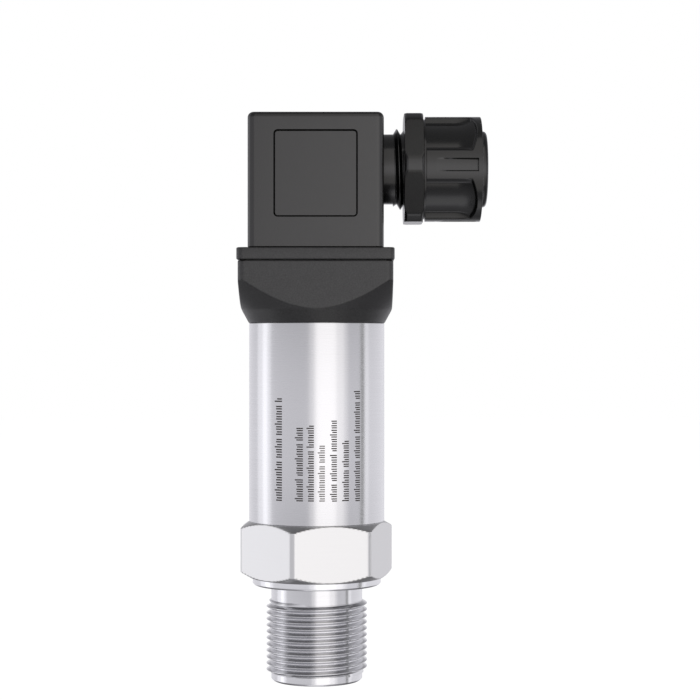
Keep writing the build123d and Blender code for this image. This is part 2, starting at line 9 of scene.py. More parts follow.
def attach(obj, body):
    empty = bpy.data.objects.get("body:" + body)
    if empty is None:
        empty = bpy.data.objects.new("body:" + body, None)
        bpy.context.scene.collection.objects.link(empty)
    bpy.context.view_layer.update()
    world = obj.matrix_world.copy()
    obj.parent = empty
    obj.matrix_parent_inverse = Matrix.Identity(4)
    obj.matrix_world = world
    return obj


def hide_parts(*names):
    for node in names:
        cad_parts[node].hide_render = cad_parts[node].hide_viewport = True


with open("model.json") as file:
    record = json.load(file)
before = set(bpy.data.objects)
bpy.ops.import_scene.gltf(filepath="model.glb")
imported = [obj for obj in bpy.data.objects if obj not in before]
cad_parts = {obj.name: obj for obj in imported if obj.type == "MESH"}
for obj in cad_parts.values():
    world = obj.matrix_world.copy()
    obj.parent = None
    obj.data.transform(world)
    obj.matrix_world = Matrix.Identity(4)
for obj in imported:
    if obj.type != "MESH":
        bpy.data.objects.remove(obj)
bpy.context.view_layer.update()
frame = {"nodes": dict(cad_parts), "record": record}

# Lengths below are in millimetres; every mesh is scaled to metres when it is made.
MM = 0.001

# Camera of the photograph: level, 375 mm in front of the axis
CAMERA_PLACE = (6.62, -375.0, 65.55)
CAMERA_LENS = 96.8
CAMERA_SENSOR = 36.0
PIXELS_PER_SIDE = 700

# Process connection
PORT_RADIUS = 3.0
PORT_EDGE = 0.1
NOSE_RADIUS = 9.05
NOSE_CHAMFER = 0.4
NOSE_EDGE = 0.08
THREAD_RADIUS = 10.0
THREAD_LIFT = 0.05
THREAD_PITCH = 1.25
THREAD_PHASE = 2.76
THREAD_LOW = 1.45
THREAD_HIGH = 16.05
THREAD_RUN_OUT = 0.55
NECK_TOP = 19.05
NECK_FILLET = 0.35
COLLAR_RADIUS = 12.75
COLLAR_EDGE = 0.05
COLLAR_LOW_CHAMFER = 0.3
COLLAR_HIGH_CHAMFER = 0.25
COLLAR_HIGH_CHAMFER_LENGTH = 0.12
HEX_LOW = 20.5
HEX_HIGH = 31.6
HEX_FLAT_RADIUS = 13.5
HEX_CORNER_RADIUS = 15.35
HEX_END_RADIUS = 13.3
HEX_CHAMFER_ANGLE = 30.0
HEX_CORNER_DIRECTION = 13.3
HEX_BLEND = 0.045
SPIGOT_TOP = 37.6
SPIGOT_RADIUS = 12.4
HEX_INNER_RADIUS = SPIGOT_RADIUS - 0.2
POCKET_RADIUS = 9.5
POCKET_LEVEL = 22.6

# Housing tube
TUBE_RADIUS = 13.45
TUBE_BORE = 12.45
TUBE_TOP = 70.9
TUBE_BORE_EDGE = 0.1
TUBE_LOW_EDGE = 0.15
TUBE_TOP_EDGE = 0.22

# Adapter
ADAPTER_TOP = 82.7
ADAPTER_HALF = 14.95
ADAPTER_CORNER = 1.3
ADAPTER_EDGE = 0.18
ADAPTER_BLEND = 0.06
ADAPTER_FOOT_RADIUS = 13.5
ADAPTER_FOOT_CHAMFER = 0.12
ADAPTER_FOOT_CHAMFER_HEIGHT = 0.1
ADAPTER_WAIST = 73.55
ADAPTER_SHOULDER_ANGLE = 46.0
ADAPTER_SPIGOT_LOW = 65.9
ADAPTER_WIREWAY = 10.2
ADAPTER_SOCKET_HALF = 12.3
ADAPTER_SOCKET_CORNER = 3.0
ADAPTER_SOCKET_LEVEL = 76.5

# Contact base
LIP_LOW = 82.9
LIP_TOP = 85.25
LIP_HALF = 15.2
LIP_EDGE = 0.28
SHADOW_HALF = 13.5
SHADOW_CORNER = ADAPTER_CORNER - 0.35
BASE_SPIGOT_HALF = 12.25
BASE_SPIGOT_CORNER = ADAPTER_SOCKET_CORNER - 0.05
BUSH_FLANGE_RADIUS = 3.75

# Plug hood
HOOD_HALF = 13.15
HOOD_TOP = 111.5
HOOD_EDGE = 1.4
HOOD_LEAST_EDGE = 0.15
HOOD_TOP_EDGE = 1.1
HOOD_RIM_GAP = 0.18
HOOD_RIM_INSET = 0.7
HOOD_RIM_CHAMFER = 0.08
HOOD_RIM_CHAMFER_HEIGHT = 0.1
HOOD_BEVEL = 0.045
HOOD_BEVEL_ANGLE = 50.0
HOOD_SHARP_ANGLE = 35.0
HOOD_CAVITY_HALF = 11.15
HOOD_CAVITY_CORNER = 1.0
HOOD_CEILING = 109.0
PANEL_WIDTH = 16.2
PANEL_HEIGHT = 16.8
PANEL_MIDDLE = (0.0, 99.6)
PANEL_DEPTH = 0.4
PANEL_CORNER = 0.8
PANEL_MOAT_WIDTH = 0.27
PANEL_MOAT_DEPTH = 0.7
WELL_RADIUS = 3.9
WELL_CHAMFER = 0.2
WELL_LEVEL = 107.9
WELL_BOSS_RADIUS = WELL_RADIUS + 1.5
WELL_BOSS_LEVEL = HOOD_CEILING - 2.6
PASSAGE_RADIUS = 1.6
PILLAR_RADIUS = 3.2
INSERT_TOP = 93.0

# Cutting tools reach past the surface that they cut
PANEL_TOOL_REACH = 1.0
MOAT_TOOL_REACH = 0.1

# Gland body, measured outward from the hood's face along +X
GLAND_LEVEL = 101.5
GLAND_HOLE_CLEARANCE = 0.05
GLAND_HOLE_START = -3.5
GLAND_HOLE_END = 2.0
GLAND_BORE = 5.2
GLAND_EDGE = 0.1
SHANK_RADIUS = 6.95
SHANK_DEPTH = 4.5
GLAND_THREAD_RADIUS = 8.0
GLAND_THREAD_LIFT = 0.03
GLAND_THREAD_PITCH = 1.5
GLAND_THREAD_PHASE = 3.45
GLAND_THREAD_LOW = 1.95
GLAND_THREAD_RUN_OUT = 0.35
FLANGE_START = 4.15
FLANGE_END = 7.85
FLANGE_FLAT_RADIUS = 10.7
FLANGE_CORNER_RADIUS = 11.7
FLANGE_END_RADIUS = FLANGE_FLAT_RADIUS + 0.6
FLANGE_INNER_RADIUS = SHANK_RADIUS - 0.3
FLANGE_CHAMFER_ANGLE = 45.0
FLANGE_CORNER_DIRECTION = 30.0
FLANGE_OVERLAP = 0.3
THREAD_OVERLAP = 0.2
BASKET_RADIUS = 7.0
BASKET_END = 16.05
BASKET_BARE_END = 0.3
BASKET_ROOT = 6.45
BASKET_PITCH = 1.5
BASKET_RUN_OUT = 0.5
SEAL_POCKET_RADIUS = 6.0
SEAL_POCKET_START = 10.65
SEAL_POCKET_EDGE = 0.05

# Compression nut, measured like the gland body
NUT_START = 7.85
NUT_END = 19.35
NUT_RADIUS = 10.4
NUT_START_CHAMFER = 0.12
NUT_END_BAND = 0.3
NUT_END_EDGE = 0.16
NUT_COLLAR_RADIUS = 9.9
NUT_COLLAR_LENGTH = 0.5
RIB_HALF = 2.8
POCKET_DEPTH = 1.3
POCKET_SIDE_RISE = 0.15
POCKET_SIDE_SWEEP = 1.2
POCKET_TAPER = 3.6
POCKET_END_RISE = 0.55
POCKET_END_SWEEP = 0.5
POCKET_END_CURVE = 1.1
END_RIM = 0.9
GROOVE_HALF = 1.2
GROOVE_DEPTH = 0.75
GROOVE_START = 2.4
GROOVE_END = 0.9
NOSE_RING_RADIUS = 7.55
NOSE_RING_ROOT = 0.12
NOSE_RING_END = 20.55
NOSE_RING_EDGE = 0.75
NUT_BORE = 7.05
NUT_BORE_RING = NUT_START + 1.0
NUT_SHOULDER = 16.95
NUT_MOUTH = 5.5
NUT_MOUTH_EDGE = 0.35


# Object from points in millimetres and faces, smooth except at edges sharper than the angle
def mesh_object(name, points, faces, sharp_angle=40):
    mesh = bpy.data.meshes.new(name)
    mesh.from_pydata([Vector(p) * MM for p in points], [], faces)
    mesh.validate()
    mesh.polygons.foreach_set("use_smooth", [True] * len(mesh.polygons))
    mesh.set_sharp_from_angle(angle=radians(sharp_angle))
    mesh.update()
    piece = bpy.data.objects.new(name, mesh)
    bpy.context.scene.collection.objects.link(piece)
    return piece


# Faces of a skin over rings of equal length, each ring closed; a loop also joins the last ring to the first
def skin_faces(ring_count, ring_length, loop=False):
    faces = []
    for row in range(ring_count if loop else ring_count - 1):
        low = row * ring_length
        high = ((row + 1) % ring_count) * ring_length
        for column in range(ring_length):
            other = (column + 1) % ring_length
            faces.append((low + column, low + other, high + other, high + column))
    return faces


# Outline from corners, each two coordinates and a rounding, with rounded ones as short arcs
def rounded_outline(corners, steps=4, loop=True):
    outline = []
    count = len(corners)
    for number, (x, y, rounding) in enumerate(corners):
        corner = Vector((x, y))
        at_end = not loop and number in (0, count - 1)
        if rounding == 0 or at_end:
            outline.append((x, y))
            continue
        before = Vector(corners[number - 1][:2]) - corner
        after = Vector(corners[(number + 1) % count][:2]) - corner
        half = before.angle(after) / 2
        before.normalize()
        after.normalize()
        middle = corner + (before + after).normalized() * (rounding / sin(half))
        start = corner + before * (rounding / tan(half)) - middle
        end = corner + after * (rounding / tan(half)) - middle
        sweep = start.angle_signed(end)
        for step in range(steps + 1):
            turn = -sweep * step / steps
            spoke = Matrix.Rotation(turn, 2) @ start
            outline.append((middle.x + spoke.x, middle.y + spoke.y))
    return outline


# Equal steps round the axis, starting at a direction in radians
def even_turns(count, direction=0.0):
    return [2 * pi * number / count + direction for number in range(count)]


# Ring of points from a radius for each direction, at one height
def ring(turns, radius_of, height):
    return [(radius_of(t) * cos(t), radius_of(t) * sin(t), height) for t in turns]


# The same radius in every direction
def circle(radius):
    return lambda turn: radius


# Distance from the middle to the side of a square with rounded corners, for every direction
def square(half, corner):
    def radius(turn):
        x, y = abs(cos(turn)), abs(sin(turn))
        if x < y:
            x, y = y, x
        flat = half / x
        if flat * y <= half - corner:
            return flat
        reach = (half - corner) * (x + y)
        return reach + sqrt(max(reach * reach - 2 * (half - corner) ** 2 + corner * corner, 0))

    return radius


# Skin over rings, each a radius for every direction and a height, with the last joined to the first
def ring_skin(turns, rings):
    points = [point for radius_of, height in rings for point in ring(turns, radius_of, height)]
    return points, skin_faces(len(rings), len(turns), loop=True)


# Solid of revolution about Z from a closed outline
def lathe(outline, segments=192):
    return ring_skin(even_turns(segments), [(circle(radius), height) for radius, height in outline])


# Two or more skins joined into one list of points and faces
def joined(*skins):
    points, faces = [], []
    for more_points, more_faces in skins:
        first = len(points)
        points.extend(more_points)
        faces.extend(tuple(first + index for index in face) for face in more_faces)
    return points, faces


# Puts points, modelled upright from the hood's face, along +X at the gland's level
def on_gland_axis(skin):
    points, faces = skin
    turned = [(HOOD_HALF + z, y, GLAND_LEVEL - x) for x, y, z in points]
    return turned, faces


# Smallest of several radii, blended over a short length so that edges come out slightly rounded
def soft_min(values, blend):
    least = min(values)
    total = sum(exp((least - value) / blend) for value in values)
    return least - blend * log(total)


# Directions round the axis, closer together near the corners of a square
def square_turns(half, corner, per_side, per_corner):
    turns = []
    for side in range(4):
        edge = asin((half - corner) / sqrt((half - corner) ** 2 + half**2))
        for number in range(per_side):
            place = -(half - corner) + 2 * (half - corner) * number / per_side
            turns.append(side * pi / 2 + atan2(place, half))
        for number in range(per_corner):
            share = number / per_corner
            turns.append(side * pi / 2 + edge + (pi / 2 - 2 * edge) * share)
    return turns


# Quarter of a rounded edge as shares of its size: what is left to go one way, and what is gone the other way
def edge_shares(steps=3):
    turns = [pi / 2 * number / steps for number in range(steps + 1)]
    return [(1 - sin(turn), 1 - cos(turn)) for turn in turns]


# Section of one turn of a thread, as shares of the pitch and of the depth
THREAD_SECTION = ((-0.46, 0.0), (-0.08, 0.92), (-0.035, 1.0), (0.035, 1.0), (0.08, 0.92), (0.46, 0.0))
THREAD_SINK = 0.1
THREAD_SPARE_TURNS = 2


# Helical ridge on a cylinder: rows follow the helix, so that every crest is a clean edge
def thread_skin(crest, cylinder, lift, pitch, phase, low, high, run_out, segments=120):
    root = cylinder + lift
    first_turn = int((low - phase) / pitch) - THREAD_SPARE_TURNS
    turn_count = int(ceil((high - low) / pitch)) + 2 * THREAD_SPARE_TURNS
    points = []
    for step in range(turn_count * segments + 1):
        angle = 2 * pi * step / segments
        base = phase + (first_turn + step / segments) * pitch
        for along, share in THREAD_SECTION:
            height = base + along * pitch
            fade = min(1.0, max(0.0, (height - low) / run_out), max(0.0, (high - height) / run_out))
            radius = root + (crest - root) * share * fade
            if height <= low or height >= high:
                radius = cylinder - THREAD_SINK
            points.append((radius * cos(angle), radius * sin(angle), min(max(height, low), high)))
    faces = []
    width = len(THREAD_SECTION)
    total = turn_count * segments
    for step in range(total):
        here = step * width
        there = here + width
        for column in range(width - 1):
            faces.append((here + column, there + column, there + column + 1, here + column + 1))
        if step + segments + 1 <= total:
            up = (step + segments) * width
            faces.append((here + width - 1, there + width - 1, up + width, up))
    return clean_faces(points, faces)


# Drops faces that lie wholly on one clamped height inside the cylinder, where the helix runs out
def clean_faces(points, faces):
    kept = []
    for face in faces:
        corners = {tuple(round(c, 5) for c in points[index]) for index in face}
        heights = {round(points[index][2], 5) for index in face}
        radii = {round(sqrt(points[index][0] ** 2 + points[index][1] ** 2), 4) for index in face}
        if len(corners) >= 3 and not (len(heights) == 1 and len(radii) == 1):
            kept.append(face)
    used = sorted({index for face in kept for index in face})
    place = {old: new for new, old in enumerate(used)}
    return [points[old] for old in used], [tuple(place[index] for index in face) for face in kept]


# Hexagon band with turned-down corners and chamfered ends, closed inward at both ends
def hex_band(flat, corner, end_radius, chamfer_angle, direction, low, high, inner, segments=540, rows=46):
    slope = 1 / tan(radians(chamfer_angle))
    turns = even_turns(segments, radians(direction))

    def outside(height):
        low_chamfer = end_radius + (height - low) * slope
        high_chamfer = end_radius + (high - height) * slope

        def radius(turn):
            nearest = (turn - radians(direction)) % (pi / 3) - pi / 6
            return soft_min([flat / cos(nearest), corner, low_chamfer, high_chamfer], HEX_BLEND)

        return radius

    points = ring(turns, circle(inner), low)
    for row in range(rows + 1):
        height = low + (high - low) * (1 - cos(pi * row / rows)) / 2
        points += ring(turns, outside(height), height)
    points += ring(turns, circle(inner), high)
    return points, skin_faces(rows + 3, segments)


# Turned steel end with its helical thread, collar, hexagon and bores
def steel_end():
    turned = lathe(rounded_outline([
        (PORT_RADIUS, 0, PORT_EDGE),
        (NOSE_RADIUS - NOSE_CHAMFER, 0, NOSE_EDGE),
        (NOSE_RADIUS, NOSE_CHAMFER, NOSE_EDGE),
        (NOSE_RADIUS, NECK_TOP, NECK_FILLET),
        (COLLAR_RADIUS - COLLAR_LOW_CHAMFER, NECK_TOP, COLLAR_EDGE),
        (COLLAR_RADIUS, NECK_TOP + COLLAR_LOW_CHAMFER, NOSE_EDGE),
        (COLLAR_RADIUS, HEX_LOW - COLLAR_HIGH_CHAMFER_LENGTH, COLLAR_EDGE),
        (COLLAR_RADIUS - COLLAR_HIGH_CHAMFER, HEX_LOW, COLLAR_EDGE),
        (HEX_INNER_RADIUS, HEX_LOW, 0),
        (HEX_INNER_RADIUS, HEX_HIGH, 0),
        (SPIGOT_RADIUS, HEX_HIGH, 0),
        (SPIGOT_RADIUS, SPIGOT_TOP, 0),
        (POCKET_RADIUS, SPIGOT_TOP, 0),
        (POCKET_RADIUS, POCKET_LEVEL, 0),
        (PORT_RADIUS, POCKET_LEVEL, 0),
    ]))
    thread = thread_skin(
        THREAD_RADIUS, NOSE_RADIUS, THREAD_LIFT, THREAD_PITCH, THREAD_PHASE,
        THREAD_LOW, THREAD_HIGH, THREAD_RUN_OUT,
    )
    band = hex_band(
        HEX_FLAT_RADIUS, HEX_CORNER_RADIUS, HEX_END_RADIUS, HEX_CHAMFER_ANGLE, HEX_CORNER_DIRECTION,
        HEX_LOW, HEX_HIGH, HEX_INNER_RADIUS,
    )
    skins = (turned, thread, band)
    piece = mesh_object("steel_end", *joined(*skins), sharp_angle=32)
    finishes = [number for number, (points, faces) in enumerate(skins) for face in faces]
    piece.data.polygons.foreach_set("material_index", finishes)
    return piece


# Tube with softened ends
def steel_tube():
    outline = rounded_outline([
        (TUBE_BORE, HEX_HIGH, TUBE_BORE_EDGE),
        (TUBE_RADIUS, HEX_HIGH, TUBE_LOW_EDGE),
        (TUBE_RADIUS, TUBE_TOP, TUBE_TOP_EDGE),
        (TUBE_BORE, TUBE_TOP, TUBE_BORE_EDGE),
    ])
    return mesh_object("steel_tube", *lathe(outline, segments=256))


# Adapter: a rounded square block met by the foot cone and the shoulder cone, hollow inside
def adapter_shell():
    block = square(ADAPTER_HALF, ADAPTER_CORNER)
    socket = square(ADAPTER_SOCKET_HALF, ADAPTER_SOCKET_CORNER)
    shoulder_slope = tan(radians(ADAPTER_SHOULDER_ANGLE))
    foot_slope = (ADAPTER_HALF - ADAPTER_FOOT_RADIUS) / (ADAPTER_WAIST - TUBE_TOP)

    def outside(height, inset=0.0):
        foot = ADAPTER_FOOT_RADIUS + (height - TUBE_TOP) * foot_slope
        shoulder = ADAPTER_HALF + (height - ADAPTER_WAIST) * shoulder_slope
        cone = foot if height <= ADAPTER_WAIST else shoulder
        return lambda turn: soft_min([block(turn), cone], ADAPTER_BLEND) - inset

    rings = [
        (circle(ADAPTER_WIREWAY), ADAPTER_SPIGOT_LOW),
        (circle(SPIGOT_RADIUS), ADAPTER_SPIGOT_LOW),
        (circle(SPIGOT_RADIUS), TUBE_TOP),
        (circle(ADAPTER_FOOT_RADIUS - ADAPTER_FOOT_CHAMFER), TUBE_TOP),
    ]
    low = TUBE_TOP + ADAPTER_FOOT_CHAMFER_HEIGHT
    high = ADAPTER_TOP - ADAPTER_EDGE
    levels = 64
    for number in range(levels + 1):
        height = low + (high - low) * number / levels
        rings.append((outside(height), height))
    for down, inward in edge_shares()[1:]:
        rings.append((outside(ADAPTER_TOP, ADAPTER_EDGE * inward), ADAPTER_TOP - ADAPTER_EDGE * down))
    rings += [
        (socket, ADAPTER_TOP),
        (socket, ADAPTER_SOCKET_LEVEL),
        (circle(ADAPTER_WIREWAY), ADAPTER_SOCKET_LEVEL),
    ]
    turns = square_turns(ADAPTER_HALF, ADAPTER_CORNER, per_side=96, per_corner=24)
    return mesh_object("adapter_shell", *ring_skin(turns, rings), sharp_angle=30)


# Contact base: lip, shadow step and spigot as one skin, open in the middle for the bush
def base_lip():
    shadow = square(SHADOW_HALF, SHADOW_CORNER)
    spigot = square(BASE_SPIGOT_HALF, BASE_SPIGOT_CORNER)

    def lip(inward):
        inset = LIP_EDGE * inward
        return square(LIP_HALF - inset, ADAPTER_CORNER - inset)

    rings = [(circle(BUSH_FLANGE_RADIUS), LIP_TOP)]
    rings += [(lip(inward), LIP_TOP - LIP_EDGE * down) for inward, down in edge_shares()]
    rings += [(lip(inward), LIP_LOW + LIP_EDGE * up) for up, inward in edge_shares()]
    rings += [
        (shadow, LIP_LOW),
        (shadow, ADAPTER_TOP),
        (spigot, ADAPTER_TOP),
        (spigot, ADAPTER_SOCKET_LEVEL),
        (circle(BUSH_FLANGE_RADIUS), ADAPTER_SOCKET_LEVEL),
    ]
    turns = square_turns(LIP_HALF, ADAPTER_CORNER, per_side=12, per_corner=14)
    return mesh_object("base_lip", *ring_skin(turns, rings), sharp_angle=35)


# Prism over a closed outline in the X-Z plane, between two depths along Y
def front_prism(name, outline, near, far):
    count = len(outline)
    points = [(x, near, z) for x, z in outline] + [(x, far, z) for x, z in outline]
    faces = [tuple(range(count)), tuple(range(2 * count - 1, count - 1, -1))]
    for number in range(count):
        other = (number + 1) % count
        faces.append((number, number + count, other + count, other))
    return mesh_object(name, points, faces)


# Outline of the front panel, or of a smaller one inside it
def panel_outline(inset=0.0):
    x, z = PANEL_MIDDLE
    half_width = PANEL_WIDTH / 2 - inset
    half_height = PANEL_HEIGHT / 2 - inset
    corner = PANEL_CORNER - inset
    return rounded_outline([
        (x - half_width, z - half_height, corner),
        (x + half_width, z - half_height, corner),
        (x + half_width, z + half_height, corner),
        (x - half_width, z + half_height, corner),
    ], steps=5)


# Writes the result of an object's modifiers into its mesh
def apply_modifiers(piece):
    bpy.context.view_layer.update()
    graph = bpy.context.evaluated_depsgraph_get()
    mesh = bpy.data.meshes.new_from_object(piece.evaluated_get(graph))
    piece.modifiers.clear()
    piece.data = mesh


# Cuts one object out of another and removes the tool
def cut(piece, tool):
    modifier = piece.modifiers.new("cut", "BOOLEAN")
    modifier.operation = "DIFFERENCE"
    modifier.object = tool
    modifier.solver = "EXACT"
    apply_modifiers(piece)
    bpy.data.objects.remove(tool)


# Hood's outside from the bottom rim over the rounded top edge to the well, then its inside
def hood_skin():
    def outside(inset):
        return square(HOOD_HALF - inset, max(HOOD_EDGE - inset, HOOD_LEAST_EDGE))

    cavity = square(HOOD_CAVITY_HALF, HOOD_CAVITY_CORNER)
    rim = LIP_TOP + HOOD_RIM_GAP
    rings = [
        (outside(HOOD_RIM_INSET), LIP_TOP),
        (outside(HOOD_RIM_INSET), rim),
        (outside(HOOD_RIM_CHAMFER), rim),
        (outside(0), rim + HOOD_RIM_CHAMFER_HEIGHT),
    ]
    for down, inward in edge_shares(6):
        rings.append((outside(HOOD_TOP_EDGE * inward), HOOD_TOP - HOOD_TOP_EDGE * down))
    rings += [
        (circle(WELL_RADIUS + WELL_CHAMFER), HOOD_TOP),
        (circle(WELL_RADIUS), HOOD_TOP - WELL_CHAMFER),
        (circle(WELL_RADIUS), WELL_LEVEL),
        (circle(PASSAGE_RADIUS), WELL_LEVEL),
        (circle(PASSAGE_RADIUS), INSERT_TOP),
        (circle(PILLAR_RADIUS), INSERT_TOP),
        (circle(PILLAR_RADIUS), WELL_BOSS_LEVEL),
        (circle(WELL_BOSS_RADIUS), WELL_BOSS_LEVEL),
        (circle(WELL_BOSS_RADIUS), HOOD_CEILING),
        (cavity, HOOD_CEILING),
        (cavity, LIP_TOP),
    ]
    return ring_skin(square_turns(HOOD_HALF, HOOD_EDGE, per_side=10, per_corner=14), rings)


# V-shaped groove round the floor of the recessed panel, as a closed solid for cutting
def panel_moat():
    floor_level = -HOOD_HALF + PANEL_DEPTH
    section = [
        (PANEL_MOAT_WIDTH, -MOAT_TOOL_REACH),
        (PANEL_MOAT_WIDTH, 0),
        (PANEL_MOAT_WIDTH / 2, PANEL_MOAT_DEPTH),
        (0, 0),
        (0, -MOAT_TOOL_REACH),
    ]
    points = []
    for inset, depth in section:
        points += [(x, floor_level + depth, z) for x, z in panel_outline(inset)]
    return mesh_object("moat_tool", points, skin_faces(len(section), len(points) // len(section), loop=True))


# Closed upright cylinder for cutting
def cylinder_skin(radius, low, high, segments=128):
    turns = even_turns(segments)
    points = ring(turns, circle(radius), low) + ring(turns, circle(radius), high)
    faces = skin_faces(2, segments)
    faces.append(tuple(range(segments - 1, -1, -1)))
    faces.append(tuple(range(segments, 2 * segments)))
    return points, faces


# Hood with the recessed front panel and the gland's hole
def hood_shell():
    piece = mesh_object("hood_shell", *hood_skin(), HOOD_SHARP_ANGLE)
    near = -HOOD_HALF - PANEL_TOOL_REACH
    far = -HOOD_HALF + PANEL_DEPTH
    cut(piece, front_prism("panel_tool", panel_outline(), near, far))
    cut(piece, panel_moat())
    hole = cylinder_skin(SHANK_RADIUS + GLAND_HOLE_CLEARANCE, GLAND_HOLE_START, GLAND_HOLE_END)
    cut(piece, mesh_object("hole_tool", *on_gland_axis(hole)))
    bevel = piece.modifiers.new("edges", "BEVEL")
    bevel.width = HOOD_BEVEL * MM
    bevel.segments = 3
    bevel.limit_method = "ANGLE"
    bevel.angle_limit = radians(HOOD_BEVEL_ANGLE)
    apply_modifiers(piece)
    piece.data.polygons.foreach_set("use_smooth", [True] * len(piece.data.polygons))
    piece.data.set_sharp_from_angle(angle=radians(HOOD_SHARP_ANGLE))
    even = piece.modifiers.new("even", "WEIGHTED_NORMAL")
    even.weight = 100
    even.keep_sharp = True
    apply_modifiers(piece)
    return piece


# Gland body: shank, ridge of its thread, wrench flange and the threaded basket under the nut
def gland_collar():
    turned = lathe(rounded_outline([
        (GLAND_BORE, -SHANK_DEPTH, GLAND_EDGE),
        (SHANK_RADIUS, -SHANK_DEPTH, GLAND_EDGE),
        (SHANK_RADIUS, FLANGE_START + FLANGE_OVERLAP, 0),
        (BASKET_ROOT, FLANGE_END - FLANGE_OVERLAP, 0),
        (BASKET_ROOT, BASKET_END, GLAND_EDGE),
        (SEAL_POCKET_RADIUS, BASKET_END, SEAL_POCKET_EDGE),
        (SEAL_POCKET_RADIUS, SEAL_POCKET_START, 0),
        (GLAND_BORE, SEAL_POCKET_START, 0),
    ]), segments=160)
    ridge = thread_skin(
        GLAND_THREAD_RADIUS, SHANK_RADIUS, GLAND_THREAD_LIFT, GLAND_THREAD_PITCH, GLAND_THREAD_PHASE,
        GLAND_THREAD_LOW, FLANGE_START + THREAD_OVERLAP, GLAND_THREAD_RUN_OUT,
    )
    basket = thread_skin(
        BASKET_RADIUS, BASKET_ROOT, GLAND_THREAD_LIFT, BASKET_PITCH, FLANGE_END,
        FLANGE_END - THREAD_OVERLAP, BASKET_END - BASKET_BARE_END, BASKET_RUN_OUT, segments=96,
    )
    flange = hex_band(
        FLANGE_FLAT_RADIUS, FLANGE_CORNER_RADIUS, FLANGE_END_RADIUS, FLANGE_CHAMFER_ANGLE,
        FLANGE_CORNER_DIRECTION, FLANGE_START, FLANGE_END, FLANGE_INNER_RADIUS, segments=360, rows=24,
    )
    points, faces = on_gland_axis(joined(turned, ridge, basket, flange))
    return mesh_object("gland_collar", points, faces, sharp_angle=32)


# A share held between nothing and the whole
def held(share):
    return min(1.0, max(0.0, share))


# Radius of the nut's outside: ribs with grooves, and pockets that sweep up to the ribs and the rim
def nut_radius(turn, height):
    rib_turn = (turn + pi / 4) % (pi / 2) - pi / 4
    ribs_low = NUT_START + NUT_COLLAR_LENGTH
    ribs_high = NUT_END - END_RIM
    if height < ribs_low:
        return NUT_COLLAR_RADIUS
    if height > ribs_high:
        return NUT_RADIUS
    across = NUT_RADIUS * sin(rib_turn)
    if abs(across) <= RIB_HALF:
        groove_start = NUT_START + GROOVE_START
        along = (height - groove_start) / (NUT_END - GROOVE_END - groove_start)
        if abs(across) < GROOVE_HALF and 0 < along <= 1:
            return NUT_RADIUS - GROOVE_DEPTH * along
        return NUT_RADIUS
    rib_edge = asin(RIB_HALF / NUT_RADIUS)
    past_rib = abs(rib_turn) - rib_edge
    off_middle = 1 - past_rib / (pi / 4 - rib_edge)
    before_end = ribs_high - height - POCKET_END_CURVE * off_middle**2
    depth = POCKET_DEPTH * (1 - POCKET_SIDE_RISE * off_middle**2)
    depth *= 1 - POCKET_END_RISE * held(1 - before_end / POCKET_TAPER) ** 2
    side = held(NUT_RADIUS * past_rib / POCKET_SIDE_SWEEP)
    end = held(before_end / POCKET_END_SWEEP)
    return NUT_RADIUS - depth * (1 - (1 - side) ** 2) * end * end * (3 - 2 * end)


# Directions round the nut, with close steps at every rib and groove edge
def nut_turns():
    edges = []
    for side in range(4):
        for across in (-RIB_HALF, -GROOVE_HALF, GROOVE_HALF, RIB_HALF):
            edges.append(side * pi / 2 + asin(across / NUT_RADIUS))
    close = 0.01
    close_steps = 4
    even_count = 560
    steps = [step for step in range(-close_steps, close_steps + 1) if step]
    turns = {round(edge + step * close, 6) for edge in edges for step in steps}
    for turn in even_turns(even_count, -pi / 4):
        if all(abs(turn - edge) > (close_steps + 0.5) * close for edge in edges):
            turns.add(round(turn, 6))
    return sorted(turns)


# Heights up the nut, with close pairs where the ribs and pockets begin and end
def nut_heights():
    edges = [NUT_START + NUT_COLLAR_LENGTH, NUT_END - END_RIM]
    close = 0.035
    heights = {round(edge + side * close, 5) for edge in edges for side in (-1, 1)}
    low = NUT_START + NUT_START_CHAMFER
    high = NUT_END - NUT_END_BAND
    count = 120
    for number in range(count + 1):
        height = low + (high - low) * number / count
        if all(abs(height - edge) > 2 * close for edge in edges):
            heights.add(round(height, 5))
    return sorted(heights)


# Compression nut with ribs, pockets, an end rim, a rounded nose and its bore
def compression_nut():
    def outside(height):
        return lambda turn: nut_radius(turn, height)

    nose = rounded_outline([
        (NUT_RADIUS, NUT_END - NUT_END_BAND, 0),
        (NUT_RADIUS, NUT_END, NUT_END_EDGE),
        (NOSE_RING_RADIUS, NUT_END, NOSE_RING_ROOT),
        (NOSE_RING_RADIUS, NOSE_RING_END, NOSE_RING_EDGE),
        (NUT_MOUTH, NOSE_RING_END, NUT_MOUTH_EDGE),
        (NUT_MOUTH, NUT_SHOULDER, 0),
        (NUT_BORE, NUT_SHOULDER, 0),
        (NUT_BORE, NUT_BORE_RING, 0),
    ], steps=5, loop=False)
    rings = [
        (circle(NUT_BORE), NUT_START),
        (circle(NUT_COLLAR_RADIUS - NUT_START_CHAMFER), NUT_START),
    ]
    rings += [(outside(height), height) for height in nut_heights()]
    rings += [(circle(radius), height) for radius, height in nose[1:]]
    points, faces = on_gland_axis(ring_skin(nut_turns(), rings))
    return mesh_object("compression_nut", points, faces, sharp_angle=32)


